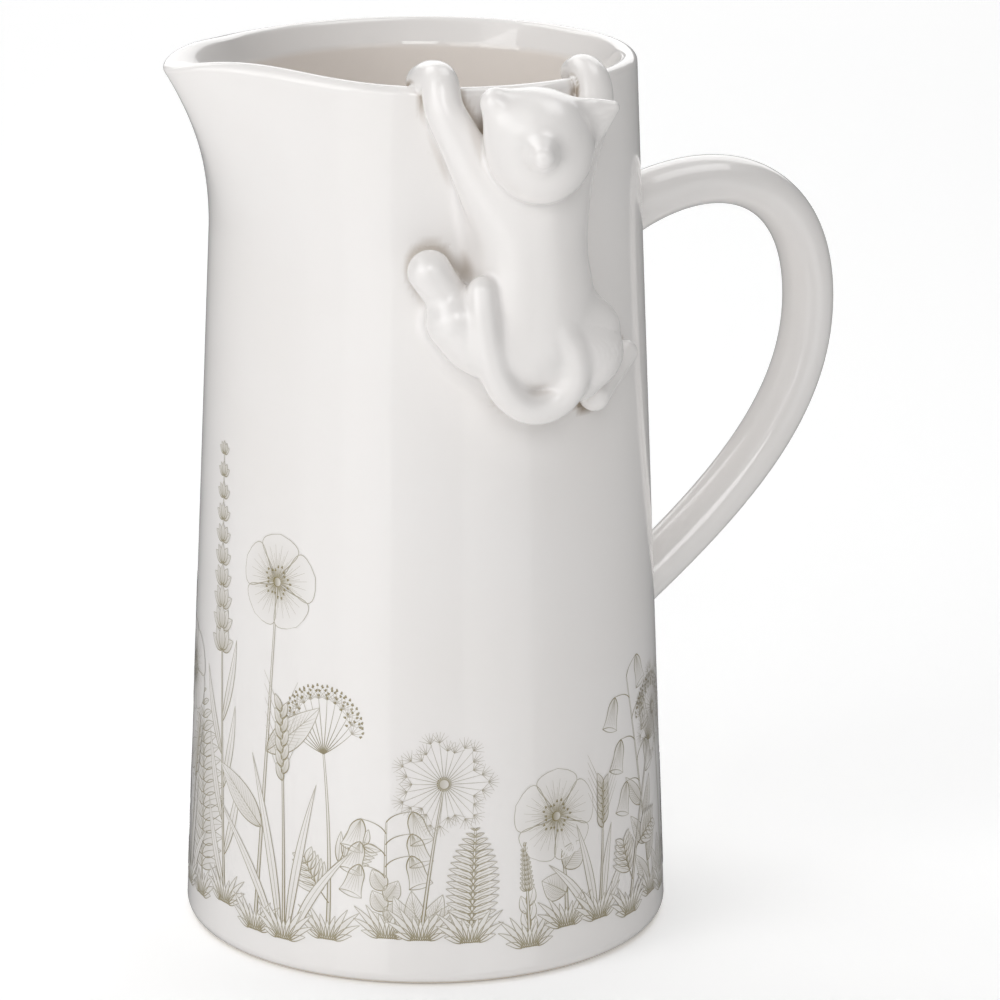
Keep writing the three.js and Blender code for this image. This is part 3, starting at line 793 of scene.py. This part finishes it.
cat_glaze = fired_glaze("cat_glaze", glaze_colour, CAT_SHINE)
skin_points, skin_quads, skin_normals, skin_owner = cat_skin()
for node in CAT_NODES:
    mine = skin_quads[skin_owner == node]
    limb_points, limb_faces, corner_normals, limb_normals = shell(skin_points, mine, skin_normals)
    limb_piece = piece(node.replace("cat_", "glazed_"), limb_points, limb_faces.tolist(), cat_glaze, node)
    limb_piece.data.normals_split_custom_set(corner_normals.tolist())
    pool_and_shade(limb_piece, limb_points, limb_normals)
# The vessel's outside beside the cat takes the same pooled glaze and painted shade
pool_and_shade(vessel, vessel_points, unit(vessel_points * (1, 1, 0) + (0, 0, 1e-9)), outside)


# The print: a meadow of ferns, grasses and wild flowers in thin taupe ink. It is a ceramic transfer, laid
# on the glazed wall and fired into it. It stands tall beside the spout and low under the cat. It is drawn
# in a flat complex plane, across plus i times up in millimetres, and then rolled round the wall.
INK = (0.23, 0.185, 0.065, 1)
PRINT_RADIUS = 66
PRINT_FOOT = 9
PRINT_LIFT = 0.03
PLANT_LIFT = 0.03
STROKE_LIFT = 0.0006
PRINT_SEED = 11
LINE = 0.16
STROKE_POINTS = 17
ALONG = np.linspace(0, 1, STROKE_POINTS)
STALK_POINTS = 28
PLANT_COUNT = 32
PLANT_SCALE = 1.45
PLANT_HEIGHT = 46
# Where plants grow taller: a place round the wall and a spread in degrees, and how much taller
TALL_PLACES = [(-164, 20, 92), (-45, 16, 24), (95, 34, 60), (145, 20, 40)]


def stalk(foot, length, lean, bend):
    """A stalk's line: it leaves its foot at a lean from upright and turns evenly by its bend."""
    share = np.linspace(0, 1, STALK_POINTS)
    steps = np.exp(1j * (np.pi / 2 - lean - bend * share[1:])) * length / (STALK_POINTS - 1)
    return foot + np.concatenate([[0], np.cumsum(steps)])


def places(line, share):
    """The points and headings at shares of a line."""
    spot = np.linspace(0, 1, len(line))
    point = np.interp(share, spot, line.real) + 1j * np.interp(share, spot, line.imag)
    return point, np.interp(share, spot, np.unwrap(np.angle(np.gradient(line))))


def pen(lines, half=LINE, tone=0.7):
    """One stroke per line, thinning toward its end."""
    lines = np.atleast_2d(lines)
    return [(1, lines, half * np.linspace(1, 0.55, lines.shape[1]), tone)]


def ray(roots, headings, lengths, curl=0.0):
    """Lines from roots along headings, each bent aside by the square of the way along it."""
    roots, headings, lengths = (part.reshape(-1, 1) for part in np.broadcast_arrays(roots, headings, lengths))
    return roots + lengths * np.exp(1j * headings) * (ALONG + 1j * curl * ALONG**2)


def sprigs(line, shares, sides, lengths, curl=0.0):
    """Lines that leave a stalk at shares of it, turned aside from its heading there."""
    points, headings = places(line, shares)
    return ray(points, headings + sides, lengths, curl)


def leaf(spine, half, shade=0.05, edge=0.65, rib=0.0, veins=0.0):
    """A wash as wide on both sides of each line as the half width, both its edges, and perhaps its rib, short
    slanting veins from the rib toward both edges, and a few long strokes that shade one side."""
    side = 1j * np.gradient(spine, axis=1)
    side *= half / np.abs(side)
    strokes = [(0, spine, half, shade), *pen(spine + side, tone=edge), *pen(spine - side, tone=edge)]
    if rib:
        strokes += pen(spine, 0.8 * LINE, rib)
    if veins:
        for reach in (0.85 * side, -0.85 * side):
            start, end = spine[:, 2:-5, None], (spine + reach)[:, 5:-2, None]
            lines = start + (end - start) * np.linspace(0, 1, 4)
            strokes += pen(lines.reshape(-1, 4), 0.6 * LINE, veins)
        for part in (0.25, 0.5, 0.75):
            strokes += pen((spine + part * side)[:, :13], 0.5 * LINE, veins)
    return strokes


def stem(line, half=0.38):
    """A stalk as a narrow wash between two edges that draw together toward its end."""
    return leaf(line[None], half * np.linspace(1, 0.4, len(line)), 0.1, 0.7)


def dots(spots, headings, tone=0.75):
    """Small round dots, each a short thick stroke."""
    return pen(ray(spots, headings, 0.55), 2.3 * LINE, tone)


def lance(width):
    """The half width of a pointed leaf, widest before its middle."""
    return width * np.sin(np.pi * ALONG**0.8) ** 0.9


def petal(width):
    """The half width of a petal, widest near its tip."""
    return width * np.sin(np.pi * ALONG**2.1) ** 0.7


def bead(width):
    """The half width of a round seed."""
    return width * np.sqrt(1 - (2 * ALONG - 1) ** 2)


def bell(width):
    """The half width of a hanging bell: a round crown, a long waist and a flared lip."""
    return width * (0.68 * np.sin(np.pi / 2 * np.minimum(1, ALONG / 0.4)) ** 0.7 + 0.32 * ALONG**4)


def fern(length, lean, bend):
    """Leaflets in pairs along a stalk, longest below the middle."""
    line = stalk(0, length, lean, bend)
    size = np.minimum(0.24 * length, 14) * np.sin(np.pi * np.linspace(0.3, 0.96, 15)) ** 0.8
    strokes = stem(line)
    for side in (1, -1):
        spines = sprigs(line, np.linspace(0.14, 0.985, 15), side, size, 0.2 * side)
        strokes += leaf(spines, lance(0.15 * size[:, None]), 0.07, rib=0.5)
    return strokes


def lavender(length, lean, bend):
    """Whorls of buds up the end of a stalk, over a few narrow leaves."""
    line = stalk(0, length, lean, bend)
    sides = np.array([0.45, -0.5, 0.4, -0.4, 0.5, -0.45])
    spines = sprigs(line, np.linspace(0.03, 0.4, 6), sides, 0.2 * length, -0.3 * sides[:, None])
    strokes = leaf(spines, lance(1), rib=0.5) + stem(line, 0.3)
    size = np.linspace(4.8, 2.4, 10) * np.minimum(1, length / 55)
    for side in (1.05, -1.05, 0.55, -0.55, 0):
        buds = sprigs(line, np.linspace(0.56, 0.99, 10), side, size)
        strokes += leaf(buds, lance(0.26 * size[:, None]), 0.16, 0.65, rib=0.45)
    return strokes


def grass(length, lean, bend):
    """Long blades, and one stalk with bearded seeds on alternate sides."""
    leans = np.array([-0.34, -0.12, 0.1, 0.3])
    sizes = length * np.array([0.62, 0.8, 0.72, 0.5])
    blades = ray(6 * leans, np.pi / 2 - leans, sizes, -0.9 * leans[:, None])
    strokes = leaf(blades, lance(0.9), rib=0.45)
    line = stalk(0, length, lean, bend)
    shares = np.linspace(0.7, 1, 11)
    sides = 0.42 * (-1.0) ** np.arange(11)
    strokes += stem(line, 0.28) + pen(sprigs(line, shares, 1.2 * sides, 8.5), 0.6 * LINE, 0.5)
    return strokes + leaf(sprigs(line, shares, sides, 3.6), lance(0.8), 0.16, 0.7, rib=0.4)


def umbel(length, lean, bend):
    """A flat head of small tufts on a fan of thin rays, over two divided leaves."""
    line = stalk(0, length, lean, bend)
    strokes = stem(line)
    points, headings = places(line, np.array([0.2, 0.38]))
    for point, heading in zip(points, headings + np.array([0.75, -0.75])):
        rib = stalk(point, np.minimum(0.24 * length, 15), np.pi / 2 - heading, 0.3)
        strokes += pen(rib)
        for side in (0.75, -0.75):
            spines = sprigs(rib, np.linspace(0.3, 1, 5), side, np.linspace(6, 3.4, 5))
            strokes += leaf(spines, lance(0.8), 0.07, rib=0.45)
    fan = np.linspace(-1.15, 1.15, 13)
    head = np.angle(line[-1] - line[-2])
    rays = ray(line[-1], head + fan, 10.6 - 2.6 * fan**2, -0.12 * fan[:, None])
    strokes += pen(rays, 0.8 * LINE, 0.65)
    for side in np.linspace(-1.2, 1.2, 7):
        tufts = ray(rays[:, -1], head + 0.7 * fan + side, 2.4 - 0.5 * side**2)
        strokes += pen(tufts, 0.5 * LINE, 0.5) + dots(tufts[:, -1], head + side)
    return strokes


def seed_head(length, lean, bend):
    """A round head of rays that each end in a small tuft, over a rosette of leaves."""
    line = stalk(0, length, lean, bend)
    sides = np.array([0.9, 0.4, -0.45, -0.85])
    spines = sprigs(line, np.full(4, 0.02), sides, np.minimum(0.3 * length, 17), -0.25 * sides[:, None])
    strokes = leaf(spines, lance(2), 0.08, rib=0.6, veins=0.4) + stem(line, 0.3)
    turns = np.linspace(0, 2 * np.pi, 30, endpoint=False)
    rays = ray(line[-1], turns, 7.2 + 1.2 * np.cos(7 * turns))
    strokes += pen(rays, 0.6 * LINE, 0.5)
    for side in (-1, -0.55, -0.18, 0.18, 0.55, 1):
        strokes += pen(ray(rays[:, -1], turns + side, 2.2), 0.45 * LINE, 0.5)
    around = np.linspace(0, 2 * np.pi, 16, endpoint=False)
    strokes += leaf(ray(line[-1] - 1.3, 0, 2.6), bead(1.3), 0.2, 0.8)
    return strokes + dots(line[-1] + 0.85 * np.exp(1j * around), around, 0.6)


def blossom(length, lean, bend):
    """Five broad petals with fine veins round a ring of stamens, on a stalk with two leaves."""
    line = stalk(0, length, lean, bend)
    strokes = stem(line)
    sides = np.array([0.9, -0.9])
    spines = sprigs(line, np.array([0.3, 0.52]), sides, np.minimum(0.28 * length, 16), 0.1)
    strokes += leaf(spines, lance(2.8), 0.08, rib=0.65, veins=0.4)
    turns = 2 * np.pi / 5 * np.arange(5) + lean * 4
    strokes += leaf(ray(line[-1], turns, 9.2), petal(4.6), 0.06, 0.6)
    for order, side in enumerate(np.linspace(-0.5, 0.5, 17)):
        reach = (4.4, 7.2, 5.6)[order % 3] - 5 * side**2
        strokes += pen(ray(line[-1], turns + side, reach, 0.25 * side), 0.5 * LINE, 0.55)
    around = np.linspace(0, 2 * np.pi, 21, endpoint=False)
    stamens = ray(line[-1], around, 2.5 + 0.5 * np.cos(5 * around))
    strokes += pen(stamens, 0.5 * LINE, 0.8) + dots(stamens[:, -1], around)
    return strokes + leaf(ray(line[-1] - 0.9, 0, 1.8), bead(0.9), 0.3, 0.8)


def bellflower(length, lean, bend):
    """Bells that hang from short arched stems on both sides of a stalk, over alternate leaves."""
    line = stalk(0, length, lean, bend)
    sides = 0.7 * (-1.0) ** np.arange(5)
    size = np.minimum(0.2 * length, 13)
    spines = sprigs(line, np.linspace(0.06, 0.42, 5), sides, size, -0.2 * sides[:, None])
    strokes = stem(line, 0.32) + leaf(spines, lance(1.7), 0.08, rib=0.6, veins=0.4)
    sides = (-1.0) ** np.arange(6)
    stems = sprigs(line, np.linspace(0.52, 1, 6), 0.5 * sides, 4.4, 0.7 * sides[:, None])
    hang = -np.pi / 2 - 0.3 * sides
    width = 2.3
    bells = ray(stems[:, -1], hang, 6.2)
    strokes += pen(stems) + leaf(bells, bell(width), 0.08, 0.7)
    for side in (-0.24, -0.12, 0, 0.12, 0.24):
        strokes += pen(ray(stems[:, -1], hang + side, 5.4), 0.5 * LINE, 0.5)
    share = np.linspace(-1, 1, STROKE_POINTS)
    for bow in (0.45, -0.45):
        lips = (1j * width * share + bow * (1 - share**2)) * np.exp(1j * hang)[:, None]
        strokes += pen(bells[:, -1:] + lips, 0.8 * LINE, 0.6)
    return strokes


def tuft():
    """Short blades of grass round a plant's foot."""
    spread = np.linspace(-1.1, 1.1, 11)
    sizes = 6 - 2.2 * np.cos(5 * spread) - spread**2
    return leaf(ray(1.5 * spread, np.pi / 2 - 0.8 * spread, sizes, -0.3 * spread[:, None]), lance(0.55), 0.08)


def meadow():
    """The plants round the wall. How tall they grow follows bells round the wall."""
    dice = np.random.default_rng(PRINT_SEED)
    turn = np.linspace(-180, 180, PLANT_COUNT, endpoint=False) + dice.uniform(-2, 2, PLANT_COUNT)
    middle, spread, taller = np.array(TALL_PLACES).T
    away = (turn[:, None] - middle + 180) % 360 - 180
    height = PLANT_HEIGHT + (taller * np.exp(-((away / spread) ** 2))).sum(axis=1)
    height *= dice.uniform(0.62, 1, PLANT_COUNT)
    kinds = (fern, lavender, blossom, grass, umbel, bellflower, seed_head)
    lean = dice.normal(0, 0.1, PLANT_COUNT)
    bend = dice.normal(0, 0.22, PLANT_COUNT)
    feet = np.radians(turn) * PRINT_RADIUS + 1j * (PRINT_FOOT + dice.uniform(0, 5, PLANT_COUNT))
    plants = []
    for k in range(PLANT_COUNT):
        drawn = kinds[k % len(kinds)](height[k] / PLANT_SCALE, lean[k], bend[k]) + tuft()
        plants.append([(kind, feet[k] + PLANT_SCALE * spine, half * PLANT_SCALE ** (1 - kind), tone)
                       for kind, spine, half, tone in drawn])
    return plants


def layered(plants, level):
    """The washes or the lines of all plants, with how high each lies on the wall: neighbours lie at one of
    four heights, and within a plant what is drawn later lies a little higher."""
    strokes = []
    for order, plant in enumerate(plants):
        drawn = 0
        for kind, spine, half, tone in plant:
            rows = len(spine) if kind == 0 else 1
            lift = PRINT_LIFT + PLANT_LIFT * (order % 4) + STROKE_LIFT * (drawn + np.arange(rows))
            drawn += rows
            if kind == level:
                strokes.append((lift[:, None, None], spine, half, tone))
    return strokes


def printed(strokes, across, fade):
    """The points, faces and tones of strokes rolled round the wall: each is a ribbon on its line, whose tone
    fades from its root to its end."""
    points, faces, tones = [], [], []
    start = 0
    for lift, spine, half, tone in strokes:
        side = 1j * np.gradient(spine, axis=1)
        side *= half / np.maximum(np.abs(side), 1e-9)
        flat = spine[..., None] + side[..., None] * np.linspace(1, -1, across)
        height = flat.imag * MM
        angle = flat.real / PRINT_RADIUS
        radius = wall_radius(height) + lift * MM
        rolled = np.stack([radius * np.cos(angle), radius * np.sin(angle), height], axis=-1)
        points.append(rolled.reshape(-1, 3))
        number = start + np.arange(flat.size).reshape(flat.shape)
        quads = [number[:, :-1, :-1], number[:, :-1, 1:], number[:, 1:, 1:], number[:, 1:, :-1]]
        faces.append(np.stack(quads, axis=-1).reshape(-1, 4))
        along = np.linspace(*fade, spine.shape[1])[:, None]
        tones.append((tone * along * np.ones(flat.shape)).ravel())
        start += flat.size
    return np.concatenate(points), np.concatenate(faces), np.concatenate(tones)


def print_colour(start):
    """The glaze's own white, tinted with ink by each stroke's tone."""
    return start.attribute("tone").blend(glaze_colour(start), INK)


printed_glaze = fired_glaze("printed_glaze", print_colour)
plants = meadow()
for level, name, across, fade in ((0, "print_washes", 5, (3.0, 0.5)), (1, "print_lines", 2, (1.35, 0.9))):
    ink_points, ink_faces, ink_tones = printed(layered(plants, level), across, fade)
    carry(piece(name, ink_points, ink_faces.tolist(), printed_glaze), "tone", ink_tones)


# The stage: a plain pale floor, soft studio lights and a camera at the photograph's angle.
FLOOR_SIZE = 12.0
FLOOR_WHITE = (0.96, 0.96, 0.96, 1)
FLOOR_ROUGHNESS = 0.9
FLOOR_GLOW = 0.2
CAMERA_TURN = np.radians(-23)
CAMERA_RISE = np.radians(15.78)
CAMERA_AIM = np.array([0, 0, 118.4]) * MM
CAMERA_DISTANCE = 1277 * MM
CAMERA_LENS = 165
CAMERA_SENSOR = 36
CAMERA_PAN = np.radians(0.9275)
# Each soft box by its angles aside and above, its distance, width and height in metres, and its power
SOFT_BOXES = {
    "key": (-50, 25, 1.5, 0.7, 1.0, 5.3),
    "key_front": (-24, 25, 1.6, 0.5, 0.9, 1.7),
    "high_left": (-60, 55, 1.5, 0.7, 0.7, 1.2),
    "front": (4, 32, 1.7, 0.6, 0.6, 5.0),
    "back_left": (-125, 50, 1.6, 0.8, 0.8, 4.3),
    "back_right": (112, 70, 1.6, 0.8, 0.8, 4.4),
    "back_high": (180, 60, 2.4, 2.4, 2.4, 5.3),
    "back_low": (180, 28, 2.4, 2.4, 1.6, 16),
}
# Each reflected panel by the angles aside of its two edges, and its radiance
PANELS = {"gloss_wide": (-64, -17, 0.35), "gloss_left": (-42, -17, 0.5), "gloss_front": (18, 53, 0.6)}
PANEL_DISTANCE = 2.0
PANEL_HEIGHT = 2.4
ROOM_LIGHT = 0.215


def pale_floor():
    """A wide flat floor of matt pale paper. The glaze doesn't mirror it, as if dark cards stood around."""
    half = FLOOR_SIZE / 2
    mesh = bpy.data.meshes.new("floor")
    corners = [(-half, -half, 0), (half, -half, 0), (half, half, 0), (-half, half, 0)]
    mesh.from_pydata(corners, [], [(0, 1, 2, 3)])
    material = bpy.data.materials.new("pale_floor")
    material.use_nodes = True
    shader = material.node_tree.nodes["Principled BSDF"]
    settings = {"Base Color": FLOOR_WHITE, "Roughness": FLOOR_ROUGHNESS,
                "Emission Color": (1, 1, 1, 1), "Emission Strength": FLOOR_GLOW}
    for name, value in settings.items():
        shader.inputs[name].default_value = value
    mesh.materials.append(material)
    floor = placed("floor", mesh)
    floor.visible_glossy = False


def looking(place, right, back):
    """The matrix of a light or a camera at a place, by its right side and the way that its back faces."""
    matrix = np.eye(4)
    matrix[:3] = np.stack([right, np.cross(back, right), back, place], axis=1)
    return Matrix(matrix.tolist())


def sight(turn, rise):
    """The right side and the back of what looks at the pitcher from a turn and a rise."""
    right = np.array([np.cos(turn), np.sin(turn), 0])
    back = np.array([np.sin(turn) * np.cos(rise), -np.cos(turn) * np.cos(rise), np.sin(rise)])
    return right, back


def soft_light(name, aside, above, distance, width, height, power):
    """A soft box that looks at the pitcher's middle. Its angles are aside from the camera's side of the
    pitcher, to the right, and above the table, in degrees."""
    right, back = sight(CAMERA_TURN + np.radians(aside), np.radians(above))
    data = bpy.data.lights.new(name, "AREA")
    data.shape = "RECTANGLE"
    data.size = width
    data.size_y = height
    data.energy = power
    light = placed(name, data)
    light.matrix_world = looking(CAMERA_AIM + back * distance, right, back)
    return light


def gloss_panel(name, first, last, radiance):
    """A tall upright panel between two angles aside from the camera, of an even radiance, that only shows as
    a reflection in the glaze."""
    width = 2 * PANEL_DISTANCE * np.tan(np.radians(last - first) / 2)
    power = radiance * np.pi * width * PANEL_HEIGHT
    panel = soft_light(name, (first + last) / 2, 0, PANEL_DISTANCE, width, PANEL_HEIGHT, power)
    panel.visible_diffuse = False


def camera():
    """The camera on the photograph's line of sight, turned aside so that the pitcher stands left of the
    middle, as it does in the photograph."""
    right, back = sight(CAMERA_TURN, CAMERA_RISE)
    data = bpy.data.cameras.new("camera")
    data.lens = CAMERA_LENS
    data.sensor_width = CAMERA_SENSOR
    made = placed("camera", data)
    turned_right = right * np.cos(CAMERA_PAN) + back * np.sin(CAMERA_PAN)
    turned_back = back * np.cos(CAMERA_PAN) - right * np.sin(CAMERA_PAN)
    made.matrix_world = looking(CAMERA_AIM + back * CAMERA_DISTANCE, turned_right, turned_back)
    bpy.context.scene.camera = made


pale_floor()
camera()
for name, setting in SOFT_BOXES.items():
    soft_light(name, *setting)
for name, setting in PANELS.items():
    gloss_panel(name, *setting)
world = bpy.data.worlds.new("studio")
world.use_nodes = True
background = world.node_tree.nodes["Background"]
background.inputs["Color"].default_value = (1, 1, 1, 1)
background.inputs["Strength"].default_value = ROOM_LIGHT
bpy.context.scene.world = world
bpy.context.scene.view_settings.view_transform = "Standard"
